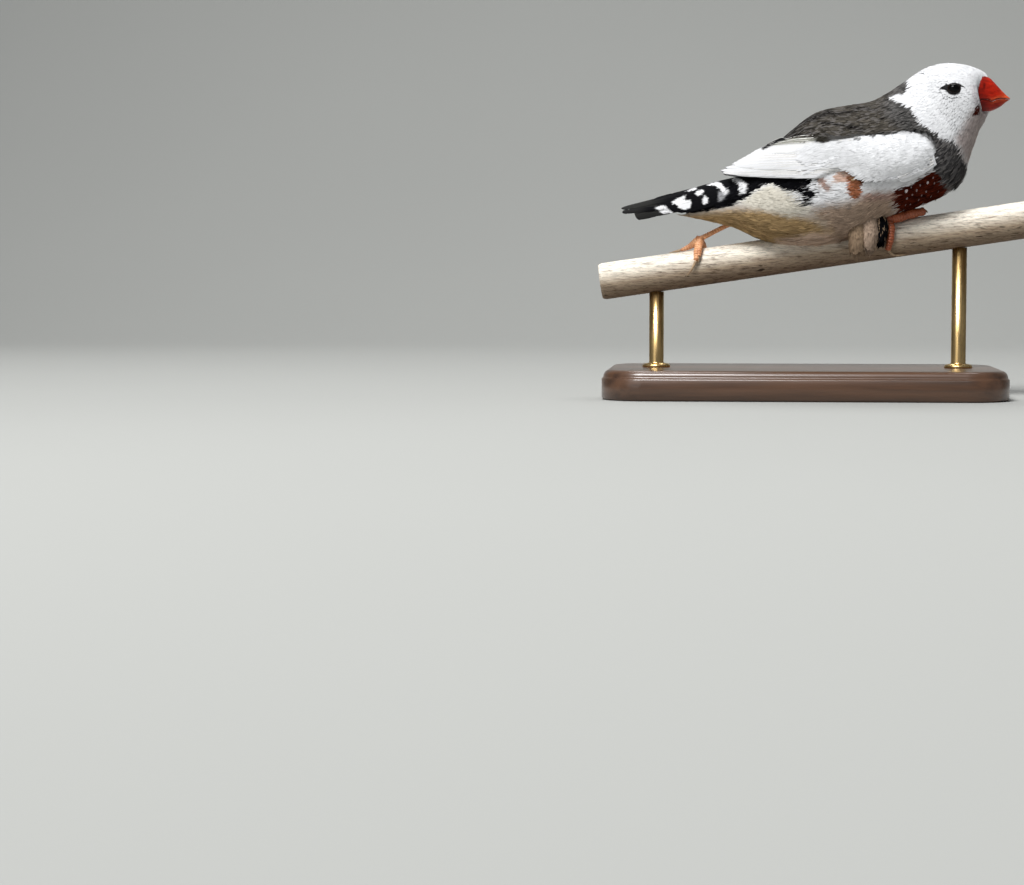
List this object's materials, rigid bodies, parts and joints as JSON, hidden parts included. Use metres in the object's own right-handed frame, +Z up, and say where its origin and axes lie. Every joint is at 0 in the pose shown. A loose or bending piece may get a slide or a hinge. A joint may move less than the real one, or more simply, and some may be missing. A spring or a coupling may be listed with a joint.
{
  "type": "zebra finch display model",
  "caption": "Life-size pied male zebra finch crouched along a short sloping round perch, held over a flat wooden base by upright rods.",
  "frame": {"origin": "middle of the whole model in plan, at the underside of the base", "axes": "+X the way the bird faces and along the perch, +Y the bird's left, +Z up"},
  "size_m": [0.1202, 0.06, 0.0905],
  "materials": {
    "body_plumage": "soft matte feathers, off-white and buff below, brown-grey on the back",
    "head_plumage": "short soft white feathers",
    "wing_plumage": "white flight feathers and coverts with soft grey edges",
    "tail_plumage": "black feathers barred with white",
    "eye": "wet gloss",
    "bill": "satin horn, coral red",
    "leg_scales": "satin orange scales",
    "perch_wood": "bare turned wood with fine grain",
    "base_wood": "dark stained wood, satin lacquer",
    "rod_brass": "brushed brass"
  },
  "bodies": {
    "root": {"torso": "body_plumage", "neck": "head_plumage", "head": "head_plumage", "eye_right": "eye", "eye_left": "eye", "bill_upper": "bill", "bill_lower": "bill", "wing_right": "wing_plumage", "wing_left": "wing_plumage", "tail": "tail_plumage", "thigh_right": "body_plumage", "thigh_left": "body_plumage", "shank_right": "leg_scales", "shank_left": "leg_scales", "foot_right": "leg_scales", "foot_left": "leg_scales", "perch": "perch_wood", "stand_base": "base_wood", "stand_rod_front": "rod_brass", "stand_rod_rear": "rod_brass"}
  },
  "joints": []
}
